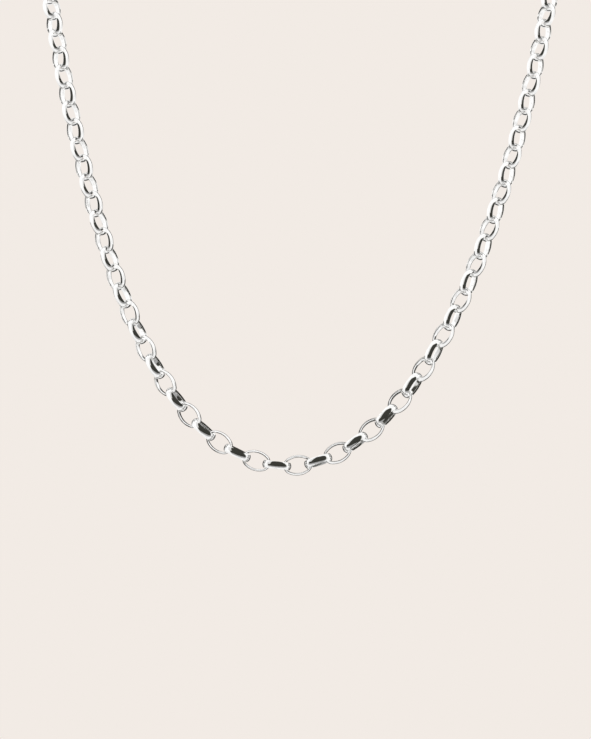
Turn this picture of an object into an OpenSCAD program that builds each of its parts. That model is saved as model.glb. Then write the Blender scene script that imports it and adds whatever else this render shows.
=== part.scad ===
// Oval rolo chain necklace of half-round wire, worn in a U, with its plain clasp at the nape.
// X runs to the wearer's left, Y to the back and Z up, with the origin at the nape.

/* [Chain] */
// Length of the whole necklace along its middle line, clasp included
chain_length = 508; // [450:1:560]
// Slack along the chain between two links that hang in each other
link_slack = 0.58; // [0.5:0.02:0.8]
// Half turns that the chain makes about its own line on its way round
half_turns = 1; // [0:1:2]
// Further roll, in degrees, that links take to one side on one strand and to the other on the other
strand_roll = 12; // [0:1:15]
// How far the necklace has slipped round the neck
slip = -3.8; // [-6:0.2:6]

/* [Link] */
// Length of a link over its ends
link_length = 6.95; // [6.8:0.05:7.6]
// Outside radius of a link's two ends, which also sets its width
end_radius = 2.1; // [2.05:0.05:2.3]

/* [Wire] */
// Thickness of the half-round wire from its flat back to its crown
wire_t = 0.55; // [0.45:0.05:0.6]
// Width of the wire's flat back
back_w = 1.1; // [0.9:0.05:1.2]
// Radius of the wire's crown
crown_radius = 1.4; // [1.3:0.05:1.6]

/* [Clasp] */
// Outside diameter of the clasp's ring
ring_d = 9; // [8:0.1:11]
// Diameter of the ring's wire
ring_wire = 1.8; // [1.4:0.1:2]
// Outside diameter of the clasp's eye
eye_d = 5; // [4.8:0.1:6]
// Diameter of the eye's wire
eye_wire = 1; // [0.8:0.1:1.1]

/* [Hidden] */
$fn = 64;

// Points that pull the closed curve of the route, from the nape forward on the wearer's right and
// back on the left: a U that leans back over the chest, then the plain way round the neck
route = [
    [0, 1, 0], [-29, -2, 0], [-55, -14, -2], [-67, -38, -15],
    [-61.5, -56, -42], [-56.5, -64, -67], [-49.5, -73, -92], [-41.8, -81, -115.5], [-26.2, -91, -143.6],
    [-1, -94.5, -155],
    [22.5, -90, -140], [37.8, -81, -115], [47.2, -73, -92], [55.2, -64, -66], [61.5, -56, -41],
    [67, -38, -15], [55, -14, -2], [29, -2, 0],
];
// Back from the wearer and a little down: links whose roll is nothing stand square to this
back = [0, 1, -0.1];
// Steps in which each stretch of the route is measured
route_steps = 16;

function unit(v) = v / norm(v);

// Share of each of four neighbouring points in the curve at t between the middle two
function pull(t) = [pow(1 - t, 3), 3 * pow(t, 3) - 6 * pow(t, 2) + 4, -3 * pow(t, 3) + 3 * pow(t, 2) + 3 * t + 1,
    pow(t, 3)] / 6;
function route_at(u) = pull(u - floor(u)) * [for (i = [-1:2]) route[(floor(u) + i + len(route)) % len(route)]];

// The route as it is drawn, and how far each of its samples is from the nape along it
route_us = [for (i = [0:len(route) * route_steps]) i / route_steps];
route_samples = [for (u = route_us) route_at(u)];
route_runs = [for (i = 0, run = 0; i < len(route_us);
    run = run + norm(route_samples[min(i + 1, len(route_us) - 1)] - route_samples[i]), i = i + 1) run];
drawn_length = route_runs[len(route_runs) - 1];
route_scale = chain_length / drawn_length;
u_of_run = [for (i = [0:len(route_us) - 1]) [route_runs[i], route_us[i]]];

// Place on the necklace at a distance s along it from the nape
function wrap(s) = s - chain_length * floor(s / chain_length);
function place(s) = route_scale * (route_at(lookup(wrap(s) / route_scale, u_of_run)) - route_at(0));

// A link is a four-centred oval: ends that each turn through twice this angle, sides through the rest
end_turn = 60;
side_radius = link_length - end_radius;

// How much nearer each of two linked ends comes to the other at the edges of its flat back
hole_radius = end_radius - wire_t;
bite = hole_radius - sqrt(pow(hole_radius, 2) - pow(back_w / 2, 2));

// The clasp's holes, its eye's place beside its ring, and the stretch that it takes up between two links
ring_hole = ring_d / 2 - ring_wire;
eye_hole = eye_d / 2 - eye_wire;
eye_offset = (ring_d - ring_wire + eye_d - eye_wire) / 2;
clasp_reach = ring_hole + eye_offset + eye_hole;
link_hole = link_length - 2 * wire_t;
clasp_run = clasp_reach + link_hole - 2 * link_slack;

// Links hang in each other at their slack or a little closer, and an odd number of them closes the loop
longest_pitch = link_hole - 2 * bite - link_slack;
links = 2 * ceil((chain_length - clasp_run) / longest_pitch / 2) + 1;
pitch = (chain_length - clasp_run) / (links - 1);

// Links on each side of the clasp that lie round the neck, behind those that hang over the chest
neck_links = round(0.23 * links);

// Moves a piece made round the origin, long in X and flat in XY, to its place as number k from the clasp
module threaded(k, s) {
    at = place(s);
    ahead = unit(place(s + pitch / 2) - place(s - pitch / 2));
    inward = unit(cross(ahead, back));
    way_round = s / chain_length;
    roll = 90 * k - 180 * half_turns * way_round - strand_roll * sin(720 * way_round);
    across = cos(roll) * inward + sin(roll) * cross(ahead, inward);
    up = cross(ahead, across);
    multmatrix([for (i = [0:2]) [ahead[i], across[i], up[i], at[i]]]) children();
}

// Section of the wire, its crown at r from the axis: flat back, wide bevels to it, round crown
module wire_section(r) {
    crown_w = back_w + 4 * wire_t;
    intersection() {
        translate([r - crown_radius, 0]) circle(crown_radius);
        polygon([[r - wire_t, -back_w / 2], [r, -crown_w / 2], [r, crown_w / 2], [r - wire_t, back_w / 2]]);
    }
}

// Closed oval of the wire: each arc by its middle, its outside radius, and where it starts and ends
module link() {
    end_x = link_length / 2 - end_radius;
    side_y = (side_radius - end_radius) * sin(end_turn);
    arcs = [
        [end_x, 0, end_radius, -end_turn, end_turn],
        [0, -side_y, side_radius, end_turn, 180 - end_turn],
        [-end_x, 0, end_radius, 180 - end_turn, 180 + end_turn],
        [0, side_y, side_radius, 180 + end_turn, 360 - end_turn],
    ];
    for (a = arcs)
        translate([a[0], a[1], 0]) rotate_extrude(angle = a[4] - a[3], start = a[3]) wire_section(a[2]);
}

// Links from one number to another, each a quarter turn from the last and clear of it
module chain_run(first, last) {
    for (k = [first:last]) {
        s = slip + clasp_run / 2 + (k - 1) * pitch;
        threaded(k, s) link();
    }
}

// The stretch that hangs over the chest
module chain_front() {
    color("silver") chain_run(neck_links + 1, links - neck_links);
}

// The stretch round the neck, on both sides of the clasp, whose last links hang in those of the front
module chain_back() {
    color("silver") {
        chain_run(1, neck_links);
        chain_run(links - neck_links + 1, links);
    }
}

module round_ring(outside_d, wire_d) {
    rotate_extrude() translate([(outside_d - wire_d) / 2, 0]) circle(d = wire_d);
}

// A closed round ring for one end of the chain and a small eye on its side for the other
module clasp() {
    color("silver") threaded(0, slip) {
        translate([clasp_reach / 2 - ring_hole, 0, 0]) {
            round_ring(ring_d, ring_wire);
            translate([-eye_offset, 0, 0]) round_ring(eye_d, eye_wire);
        }
    }
}

chain_front();
chain_back();
clasp();
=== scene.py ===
import math

import bmesh
import bpy
import numpy as np
from mathutils import Matrix, Vector


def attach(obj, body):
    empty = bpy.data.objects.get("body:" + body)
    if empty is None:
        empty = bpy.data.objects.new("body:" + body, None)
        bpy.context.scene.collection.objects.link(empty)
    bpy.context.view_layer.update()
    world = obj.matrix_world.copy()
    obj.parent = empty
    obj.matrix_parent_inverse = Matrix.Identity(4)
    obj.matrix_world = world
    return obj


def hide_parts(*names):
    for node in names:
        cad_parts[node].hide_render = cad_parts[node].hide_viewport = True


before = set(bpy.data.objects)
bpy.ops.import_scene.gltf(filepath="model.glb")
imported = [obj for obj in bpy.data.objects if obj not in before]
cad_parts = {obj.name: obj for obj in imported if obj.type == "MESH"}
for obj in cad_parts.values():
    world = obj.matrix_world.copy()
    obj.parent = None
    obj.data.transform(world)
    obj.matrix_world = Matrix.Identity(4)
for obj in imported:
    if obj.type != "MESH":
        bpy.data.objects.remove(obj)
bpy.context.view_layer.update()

# The camera looks level from in front of the wearer, as in the photograph, from 800 mm before the lowest
# link, where a pixel of the 591 x 739 picture is 0.24 mm.
MM = 0.001
PIXEL = 0.24 * MM
PICTURE_HEIGHT = 739
STAND_OFF = 0.8
SENSOR = 36
LOWEST_LINK = Vector((-0.63, -93.33, -150.83)) * MM
PICTURE_CENTRE = LOWEST_LINK + Vector((-0.55, 0, 22.99)) * MM
camera_data = bpy.data.cameras.new("camera")
camera_data.sensor_width = SENSOR
camera_data.lens = SENSOR * STAND_OFF / (PICTURE_HEIGHT * PIXEL)
camera_data.clip_start, camera_data.clip_end = 0.05, 20
camera = bpy.data.objects.new("camera", camera_data)
camera.location = PICTURE_CENTRE - Vector((0, STAND_OFF, 0))
camera.rotation_euler = (math.radians(90), 0, 0)
bpy.context.scene.collection.objects.link(camera)
bpy.context.scene.camera = camera
bpy.context.scene.view_settings.view_transform = "Standard"

# The links: closed ovals of half-round sterling silver wire, its flat to the inside, soldered shut where
# one long side runs into an end, tumbled and polished bright. Each hangs at a quarter turn in the one
# before it.
LINK_LENGTH = 6.95 * MM
END_RADIUS = 2.1 * MM
END_TURN = math.radians(60)
WIRE_THICKNESS = 0.55 * MM
CROWN_RADIUS = 1.4 * MM
BACK_WIDTH = 1.1 * MM
# How much the wire widens from its flat back to its crown, for each bit of its thickness, on each side
EDGE_FLARE = 2.0
# How far each edge is eased along the bevel, and how much of the eased depth also narrows the crown's edge
EDGE_EASE, EDGE_NARROWED = 0.05 * MM, 0.2
# The flat back bulges by this much in its middle
BACK_BULGE = 0.006 * MM
# Corners of the crown, as shares of its half width, and how sharp an edge of the wire has to be to show
CROWN_STEPS = (0, 0.27, 0.54, 0.79, 1)
SHARP_EDGE = math.radians(32)
# How far along its wire a link's seam is, just past its first long side, and how far from there the seam is
# still clear and then faded out, in mm
SEAM_AT, SEAM_CLEAR, SEAM_FADED = 10.2, 0.02, 0.07
HANG_PLAY = math.radians(1.2)
HANG_SEED = 7
# Streaks of the wheel for each mm along the wire and round it, their noise and the roughness where the
# silver is smoothest and roughest, and how deep and strong they are
LINK_STREAKS = (0.5, 9, 1)
STREAKS_LOW, STREAKS_HIGH = 0.3, 0.7
LEAST_ROUGH, MOST_ROUGH, SEAM_ROUGHER = 0.03, 0.09, 0.12
STREAK_DEPTH, STREAK_STRENGTH = 0.02 * MM, 0.08
# Clouds of wear for each metre
WEAR_SCALE = 420.0
BRIGHT_SILVER = (0.965, 0.96, 0.95, 1)
WORN_SILVER = (0.90, 0.895, 0.885, 1)
SEAM_SILVER = (0.78, 0.76, 0.72, 1)
# Corners of a CAD node's mesh that are nearer to each other than this are one corner
SAME_PLACE = 0.0001 * MM


def half_round_section():
    """Outline of the wire as (depth below the crown, height), its corners eased, from the crown round."""
    def crown_depth(z):
        return CROWN_RADIUS - math.sqrt(CROWN_RADIUS ** 2 - z * z)

    def flare_height(depth):
        return BACK_WIDTH / 2 + EDGE_FLARE * (WIRE_THICKNESS - depth)

    # Half the crown's width, where the bevels meet it: going halfway each time settles on it
    edge = BACK_WIDTH / 2
    for _ in range(40):
        edge = (edge + flare_height(crown_depth(edge))) / 2
    half = [(crown_depth(z), z) for z in (step * (edge - EDGE_EASE) for step in CROWN_STEPS)]
    ease = EDGE_EASE / math.hypot(1, EDGE_FLARE)
    outer, inner = crown_depth(edge) + ease, WIRE_THICKNESS - ease
    half += [
        (outer, flare_height(outer) - EDGE_NARROWED * ease),
        (inner, flare_height(inner)),
        (WIRE_THICKNESS, BACK_WIDTH / 2 - EDGE_EASE),
        (WIRE_THICKNESS + BACK_BULGE * 2 / 3, BACK_WIDTH / 4),
    ]
    return half + [(WIRE_THICKNESS + BACK_BULGE, 0)] + [(depth, -z) for depth, z in half[:0:-1]]


def oval_link(per_end=14, per_side=8):
    """A link long in X and flat in XY, with the lengths along and round its wire in the UV map, in mm."""
    end_x = LINK_LENGTH / 2 - END_RADIUS
    side_radius = LINK_LENGTH - END_RADIUS
    side_y = (side_radius - END_RADIUS) * math.sin(END_TURN)
    end_sweep, side_sweep = 2 * END_TURN, math.pi - 2 * END_TURN
    arcs = [
        (end_x, 0, END_RADIUS, -END_TURN, end_sweep, per_end),
        (0, -side_y, side_radius, END_TURN, side_sweep, per_side),
        (-end_x, 0, END_RADIUS, math.pi - END_TURN, end_sweep, per_end),
        (0, side_y, side_radius, math.pi + END_TURN, side_sweep, per_side),
    ]
    section = half_round_section()
    around = [0]
    for a, b in zip(section, section[1:] + section[:1]):
        around.append(around[-1] + math.dist(a, b) / MM)
    verts, along = [], [0]
    for x, y, radius, start, sweep, steps in arcs:
        for i in range(steps):
            a = start + sweep * i / steps
            verts += [(x + (radius - d) * math.cos(a), y + (radius - d) * math.sin(a), z) for d, z in section]
            along.append(along[-1] + radius * sweep / steps / MM)
    turns, n = len(along) - 1, len(section)
    faces, uvs = [], []
    for i in range(turns):
        for j in range(n):
            k, l = (i + 1) % turns, (j + 1) % n
            faces.append((i * n + j, i * n + l, k * n + l, k * n + j))
            uvs += [(along[i], around[j]), (along[i], around[j + 1]),
                    (along[i + 1], around[j + 1]), (along[i + 1], around[j])]
    mesh = bpy.data.meshes.new("oval_link")
    mesh.from_pydata(verts, [], faces)
    wire_map = mesh.uv_layers.new(name="wire")
    wire_map.data.foreach_set("uv", np.array(uvs, np.float32).ravel())
    mesh.polygons.foreach_set("use_smooth", [True] * len(faces))
    mesh.update()
    bm = bmesh.new()
    bm.from_mesh(mesh)
    bmesh.ops.recalc_face_normals(bm, faces=bm.faces)
    bm.to_mesh(mesh)
    bm.free()
    mesh.set_sharp_from_angle(angle=SHARP_EDGE)
    return mesh


def as_object(name, data):
    """An object of a mesh or a lamp, in the scene."""
    made = bpy.data.objects.new(name, data)
    bpy.context.scene.collection.objects.link(made)
    return made


def node(tree, kind, inputs=(), **settings):
    """A node with these settings, and with values or other nodes' sockets at its inputs."""
    made = tree.nodes.new(kind)
    for name, value in settings.items():
        setattr(made, name, value)
    for key, value in dict(inputs).items():
        if isinstance(value, bpy.types.NodeSocket):
            tree.links.new(value, made.inputs[key])
        else:
            made.inputs[key].default_value = value
    return made


def maths(tree, operation, *values):
    return node(tree, "ShaderNodeMath", enumerate(values), operation=operation).outputs[0]


def ranged(tree, value, low, high, to_low, to_high):
    """The value moved from one range into another, and held within it."""
    return node(tree, "ShaderNodeMapRange", {"Value": value, "From Min": low, "From Max": high,
                                             "To Min": to_low, "To Max": to_high}).outputs["Result"]


def mixed(tree, share, first, second):
    """A colour between two others, by the colour sockets of a Mix node: 6 and 7, and 2 of its outputs."""
    return node(tree, "ShaderNodeMix", {0: share, 6: first, 7: second}, data_type="RGBA").outputs[2]


def polished_silver(name, pattern, streak, seam_at=None):
    """Sterling polished bright, with faint streaks of the wheel, clouds of wear and a dull solder seam."""
    silver = bpy.data.materials.new(name)
    silver.use_nodes = True
    tree = silver.node_tree
    shader = tree.nodes["Principled BSDF"]
    shader.inputs["Metallic"].default_value = 1
    place = node(tree, "ShaderNodeTexCoord")
    wear = node(tree, "ShaderNodeTexNoise", {
        "Vector": place.outputs["Object"], "Scale": WEAR_SCALE, "Detail": 3.0})
    lay = node(tree, "ShaderNodeMapping", {"Vector": place.outputs[pattern], "Scale": streak})
    streaks = node(tree, "ShaderNodeTexNoise", {"Vector": lay.outputs["Vector"], "Scale": 1.0, "Detail": 4.0})
    colour = mixed(tree, wear.outputs["Fac"], BRIGHT_SILVER, WORN_SILVER)
    rough = ranged(tree, streaks.outputs["Fac"], STREAKS_LOW, STREAKS_HIGH, LEAST_ROUGH, MOST_ROUGH)
    if seam_at is not None:
        apart = node(tree, "ShaderNodeSeparateXYZ", {0: place.outputs["UV"]})
        away = maths(tree, "ABSOLUTE", maths(tree, "SUBTRACT", apart.outputs["X"], seam_at))
        seam = ranged(tree, away, SEAM_CLEAR, SEAM_FADED, 1.0, 0.0)
        colour = mixed(tree, seam, colour, SEAM_SILVER)
        rough = maths(tree, "MULTIPLY_ADD", seam, SEAM_ROUGHER, rough)
    tree.links.new(colour, shader.inputs["Base Color"])
    tree.links.new(rough, shader.inputs["Roughness"])
    bump = node(tree, "ShaderNodeBump", {
        "Height": streaks.outputs["Fac"], "Strength": STREAK_STRENGTH, "Distance": STREAK_DEPTH})
    tree.links.new(bump.outputs["Normal"], shader.inputs["Normal"])
    return silver


def islands(mesh_object):
    """Of each loose solid of a CAD node: its faces' centres, their areas, and its corners."""
    bm = bmesh.new()
    bm.from_mesh(mesh_object.data)
    bmesh.ops.remove_doubles(bm, verts=bm.verts, dist=SAME_PLACE)
    bm.verts.ensure_lookup_table()
    seen, found = set(), []
    for start in bm.verts:
        if start.index in seen:
            continue
        group, stack = [], [start]
        seen.add(start.index)
        while stack:
            v = stack.pop()
            group.append(v)
            for e in v.link_edges:
                w = e.other_vert(v)
                if w.index not in seen:
                    seen.add(w.index)
                    stack.append(w)
        faces = {f for v in group for f in v.link_faces}
        found.append((
            np.array([f.calc_center_median() for f in faces]),
            np.array([f.calc_area() for f in faces]),
            np.array([v.co for v in group]),
        ))
    bm.free()
    return found


def own_axes(centres, areas):
    """Centre of a solid's skin, and its long, middle and short directions as the columns of a turn."""
    middle = (centres * areas[:, None]).sum(0) / areas.sum()
    spread = centres - middle
    _, axes = np.linalg.eigh((spread * areas[:, None]).T @ spread)
    long, across = axes[:, 2], axes[:, 1]
    return middle, Matrix(np.c_[long, across, np.cross(long, across)].tolist())


def hung_links_tree():
    """Hangs the given link at each point, turned as the point says, with a little play of its own."""
    tree = bpy.data.node_groups.new("hung_links", "GeometryNodeTree")
    for name, kind in (("Geometry", "Geometry"), ("Link", "Object"), ("Link Size", "Float"),
                       ("Hang Play", "Float"), ("Seed", "Int"), ("Silver", "Material")):
        tree.interface.new_socket(name, in_out="INPUT", socket_type="NodeSocket" + kind)
    tree.interface.new_socket("Geometry", in_out="OUTPUT", socket_type="NodeSocketGeometry")
    given = node(tree, "NodeGroupInput").outputs
    link = node(tree, "GeometryNodeObjectInfo", {"Object": given["Link"], "As Instance": True})
    turn = node(tree, "GeometryNodeInputNamedAttribute", {"Name": "turn"}, data_type="QUATERNION")
    play = node(tree, "FunctionNodeRandomValue", {
        "Min": maths(tree, "MULTIPLY", given["Hang Play"], -1.0), "Max": given["Hang Play"],
        "Seed": given["Seed"]}, data_type="FLOAT")
    roll = node(tree, "FunctionNodeAxisAngleToRotation", {"Axis": (1, 0, 0), "Angle": play.outputs[1]})
    turned = node(tree, "FunctionNodeRotateRotation", {
        "Rotation": turn.outputs["Attribute"], "Rotate By": roll.outputs[0]}, rotation_space="LOCAL")
    hung = node(tree, "GeometryNodeInstanceOnPoints", {
        "Points": given["Geometry"], "Instance": link.outputs["Geometry"], "Rotation": turned.outputs[0],
        "Scale": given["Link Size"]})
    real = node(tree, "GeometryNodeRealizeInstances", {"Geometry": hung.outputs["Instances"]})
    dressed = node(tree, "GeometryNodeSetMaterial", {
        "Geometry": real.outputs["Geometry"], "Material": given["Silver"]})
    node(tree, "NodeGroupOutput", {"Geometry": dressed.outputs["Geometry"]})
    return tree


def made_real(source):
    """The mesh that an object's modifiers make of it, in place of the object."""
    depsgraph = bpy.context.evaluated_depsgraph_get()
    mesh = bpy.data.meshes.new_from_object(source.evaluated_get(depsgraph), depsgraph=depsgraph)
    source.modifiers.clear()
    bpy.data.objects.remove(source)
    return mesh


hanging = [own_axes(centres, areas) for stretch in ("chain_front", "chain_back")
           for centres, areas, _ in islands(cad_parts[stretch])]
points = bpy.data.meshes.new("threads")
points.from_pydata([middle for middle, _ in hanging], [], [])
turns = points.attributes.new("turn", "QUATERNION", "POINT")
turns.data.foreach_set("value", [q for _, turn in hanging for q in turn.to_quaternion()])
threads = as_object("threads", points)
pattern_link = as_object("oval_link", oval_link())
hung_links = threads.modifiers.new("hung_links", "NODES")
hung_links.node_group = hung_links_tree()
given = {"Link": pattern_link, "Link Size": 1.0, "Hang Play": HANG_PLAY, "Seed": HANG_SEED,
         "Silver": polished_silver("link_silver", "UV", LINK_STREAKS, SEAM_AT)}
for socket in hung_links.node_group.interface.items_tree:
    if socket.in_out == "INPUT" and socket.name in given:
        hung_links[socket.identifier] = given[socket.name]
chain_links = as_object("chain_links", made_real(threads))
bpy.data.objects.remove(pattern_link)
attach(chain_links, "root")
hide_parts("chain_front", "chain_back")

# The clasp, which the photograph doesn't show: a plain closed ring of round wire for one end of the chain,
# with a small ring soldered to its side for the other, both polished with the links.
RING_SIZE, RING_WIRE = 9.0 * MM, 1.8 * MM
EYE_SIZE, EYE_WIRE = 5.0 * MM, 1.0 * MM
# So much of each end of the clasp tells by its width which end the ring is
END_STRETCH = 4 * MM
# Fineness of the skin that is drawn over both rings, and how often it is smoothed, which fills the corner
# between them as solder does
SKIN_STEP = 0.08 * MM
SKIN_SMOOTHING = 6
# Streaks of the wheel for each metre along X, Y and Z
CLASP_STREAKS = (900, 900, 2600)


def built(name, bm):
    mesh = bpy.data.meshes.new(name)
    bm.to_mesh(mesh)
    bm.free()
    return as_object(name, mesh)


def round_ring(name, x, size, wire, turns, sides):
    """A ring of round wire in XY with its middle at x."""
    bm = bmesh.new()
    middle_line, rings = (size - wire) / 2, []
    for a in (2 * math.pi * i / turns for i in range(turns)):
        outs = [(middle_line + wire / 2 * math.cos(b), wire / 2 * math.sin(b))
                for b in (2 * math.pi * j / sides for j in range(sides))]
        rings.append([bm.verts.new((x + out * math.cos(a), out * math.sin(a), up)) for out, up in outs])
    for i in range(turns):
        for j in range(sides):
            k, l = (i + 1) % turns, (j + 1) % sides
            bm.faces.new((rings[i][j], rings[k][j], rings[k][l], rings[i][l]))
    return built(name, bm)


centres, areas, corners = islands(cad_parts["clasp"])[0]
_, turn = own_axes(centres, areas)
local = corners @ np.array(turn)
near_low = local[:, 0] < local[:, 0].min() + END_STRETCH
near_high = local[:, 0] > local[:, 0].max() - END_STRETCH
if np.ptp(local[near_low, 1]) < np.ptp(local[near_high, 1]):
    turn = turn @ Matrix.Rotation(math.pi, 3, "Z")
    local = corners @ np.array(turn)
lowest, highest = local.min(0), local.max(0)
middle = (lowest + highest) / 2
ring = round_ring("ring", lowest[0] + RING_SIZE / 2, RING_SIZE, RING_WIRE, turns=72, sides=24)
eye = round_ring("eye", highest[0] - EYE_SIZE / 2, EYE_SIZE, EYE_WIRE, turns=56, sides=18)
soldered = ring.modifiers.new("soldered", "BOOLEAN")
soldered.operation, soldered.object, soldered.solver = "UNION", eye, "EXACT"
blended = ring.modifiers.new("blended", "REMESH")
blended.mode, blended.voxel_size, blended.use_smooth_shade = "VOXEL", SKIN_STEP, True
smoothed = ring.modifiers.new("smoothed", "SMOOTH")
smoothed.factor, smoothed.iterations = 0.5, SKIN_SMOOTHING
clasp_mesh = made_real(ring)
bpy.data.objects.remove(eye)
clasp_mesh.transform(turn.to_4x4() @ Matrix.Translation((0, middle[1], middle[2])))
clasp_mesh.materials.clear()
clasp_mesh.materials.append(polished_silver("clasp_silver", "Object", CLASP_STREAKS))
clasp_ring = as_object("clasp_ring", clasp_mesh)
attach(clasp_ring, "root")
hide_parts("clasp")

# The studio: a plain pale room, with a lamp over a pale floor far below the hanging chain. Only the silver
# shows the white light tent round it, with a dark opening for the camera over a grey strip and a dark way in
# at the back, and the grey board that stands close behind the lowest links.
ROOM = (0.888, 0.831, 0.783, 1)
FLOOR_COLOUR, FLOOR_ROUGHNESS = (0.80, 0.75, 0.70, 1), 0.8
FLOOR_RADIUS, FLOOR_HEIGHT = 1.6, -0.62
LAMP_POWER, LAMP_SIZE, LAMP_HEIGHT = 18, 1.2, 1.6
TENT_RADIUS = 2.5
# Limits of the opening to the camera's left and right, and below and above it, in degrees, and those of the
# light corner that is cut from it and of the strip below it
OPENING_SIDES, OPENING_HEIGHTS = (-53, 52), (-23, 67)
CORNER_SIDES, CORNER_HEIGHTS = (-62, -43), (14, 78)
STRIP_HEIGHTS = (-45, -23)
OPENING_EDGE = 5
OPENING_LIGHT, OPENING_TINT = 0.042, (1, 1, 0.86, 1)
CORNER_LIGHT, STRIP_LIGHT = 0.75, 0.42
# The way in: which way it is, its radius and soft edge in degrees, and its light
WAY_IN, WAY_IN_RADIUS, WAY_IN_EDGE, WAY_IN_LIGHT = (0.3, 1, 0.22), 17, 9, 0.06
# The tent's brighter top, the same way, and the light of the cloth below it
TOP_RADIUS, TOP_EDGE, TOP_LIGHT, CLOTH_LIGHT = 70, 50, 1.1, 0.95
# How closely the cloth's folds lie each way, and their noise and shade where they are darkest and lightest
FOLDS_EACH_WAY = (5, 5, 1.6)
FOLDS_LOW, FOLDS_HIGH = 0.35, 0.6
FOLDS_DARK, FOLDS_LIGHT = 0.85, 1.12
BOARD_WIDTH, BOARD_HEIGHT = 0.26, 0.155
BOARD_MIDDLE = Vector((0, 2, -172)) * MM
BOARD_LIGHT, BOARD_TINT = 0.08, (1, 1, 0.95, 1)

world = bpy.data.worlds.new("room")
world.use_nodes = True
world.node_tree.nodes["Background"].inputs["Color"].default_value = ROOM
bpy.context.scene.world = world

floor_form = bmesh.new()
bmesh.ops.create_circle(floor_form, cap_ends=True, segments=96, radius=FLOOR_RADIUS)
floor = built("floor", floor_form)
floor.data.transform(Matrix.Translation((0, 0, FLOOR_HEIGHT)))
pale = bpy.data.materials.new("pale_floor")
pale.use_nodes = True
pale.node_tree.nodes["Principled BSDF"].inputs["Base Color"].default_value = FLOOR_COLOUR
pale.node_tree.nodes["Principled BSDF"].inputs["Roughness"].default_value = FLOOR_ROUGHNESS
floor.data.materials.append(pale)
floor.visible_glossy = False

lamp_data = bpy.data.lights.new("softbox", "AREA")
lamp_data.energy, lamp_data.size = LAMP_POWER, LAMP_SIZE
lamp = as_object("softbox", lamp_data)
lamp.location = (0, 0, LAMP_HEIGHT)
lamp.visible_glossy = False


def unlit(name):
    """A material with an empty tree, for something that only gives light."""
    made = bpy.data.materials.new(name)
    made.use_nodes = True
    made.node_tree.nodes.clear()
    return made


def shine(tree, colour, strength):
    glow = node(tree, "ShaderNodeEmission", {"Color": colour, "Strength": strength})
    node(tree, "ShaderNodeOutputMaterial", {"Surface": glow.outputs["Emission"]})


tent_form = bmesh.new()
bmesh.ops.create_icosphere(tent_form, subdivisions=4, radius=TENT_RADIUS)
tent = built("light_tent", tent_form)
tent.visible_camera = False
cloth = unlit("tent_cloth")
tree = cloth.node_tree
place = node(tree, "ShaderNodeTexCoord")
toward = node(tree, "ShaderNodeVectorMath", {0: place.outputs["Object"]}, operation="NORMALIZE").outputs[0]


def facing(axis):
    """How nearly the tent lies along an axis: one on it, nought at right angles to it."""
    axis = Vector(axis).normalized()
    return node(tree, "ShaderNodeVectorMath", {0: toward, 1: axis}, operation="DOT_PRODUCT").outputs["Value"]


def beside(axis, radius, edge, inside, outside):
    """Value inside a round patch of the tent about an axis, and outside it, with a soft edge in degrees."""
    rim, full = math.cos(math.radians(radius + edge)), math.cos(math.radians(radius))
    return ranged(tree, facing(axis), rim, full, outside, inside)


def within(axis, limits):
    """One between two angles off the way to the camera, counted towards an axis, and nought beyond them."""
    low, high = map(math.radians, limits)
    angle = maths(tree, "ARCTAN2", facing(axis), facing((0, -1, 0)))
    away = maths(tree, "ABSOLUTE", maths(tree, "SUBTRACT", angle, (low + high) / 2))
    half = (high - low) / 2
    return ranged(tree, away, half, half + math.radians(OPENING_EDGE), 1.0, 0.0)


def product(first, *others):
    for other in others:
        first = maths(tree, "MULTIPLY", first, other)
    return first


at_sides = within((1, 0, 0), OPENING_SIDES)
corner = product(within((1, 0, 0), CORNER_SIDES), within((0, 0, 1), CORNER_HEIGHTS))
opening = product(at_sides, within((0, 0, 1), OPENING_HEIGHTS), ranged(tree, corner, 0.0, 1.0, 1.0, 0.0))
strip = product(at_sides, within((0, 0, 1), STRIP_HEIGHTS))
draped = node(tree, "ShaderNodeMapping", {"Vector": toward, "Scale": FOLDS_EACH_WAY})
folds = node(tree, "ShaderNodeTexNoise", {"Vector": draped.outputs["Vector"], "Scale": 1.0, "Detail": 2.0})
shine(tree, mixed(tree, opening, (1, 1, 1, 1), OPENING_TINT), product(
    beside((0, 0, 1), TOP_RADIUS, TOP_EDGE, TOP_LIGHT, CLOTH_LIGHT),
    ranged(tree, opening, 0.0, 1.0, 1.0, OPENING_LIGHT),
    ranged(tree, corner, 0.0, 1.0, 1.0, CORNER_LIGHT),
    ranged(tree, strip, 0.0, 1.0, 1.0, STRIP_LIGHT),
    beside(WAY_IN, WAY_IN_RADIUS, WAY_IN_EDGE, WAY_IN_LIGHT, 1.0),
    ranged(tree, folds.outputs["Fac"], FOLDS_LOW, FOLDS_HIGH, FOLDS_DARK, FOLDS_LIGHT),
))
tent.data.materials.append(cloth)

board_form = bmesh.new()
bmesh.ops.create_grid(board_form, x_segments=1, y_segments=1, size=0.5)
board = built("grey_board", board_form)
board.data.transform(Matrix.Translation(BOARD_MIDDLE) @ Matrix.Rotation(math.radians(90), 4, "X")
                     @ Matrix.Diagonal((BOARD_WIDTH, BOARD_HEIGHT, 1, 1)))
board.visible_camera = False
dim = unlit("board_grey")
shine(dim.node_tree, BOARD_TINT, BOARD_LIGHT)
board.data.materials.append(dim)
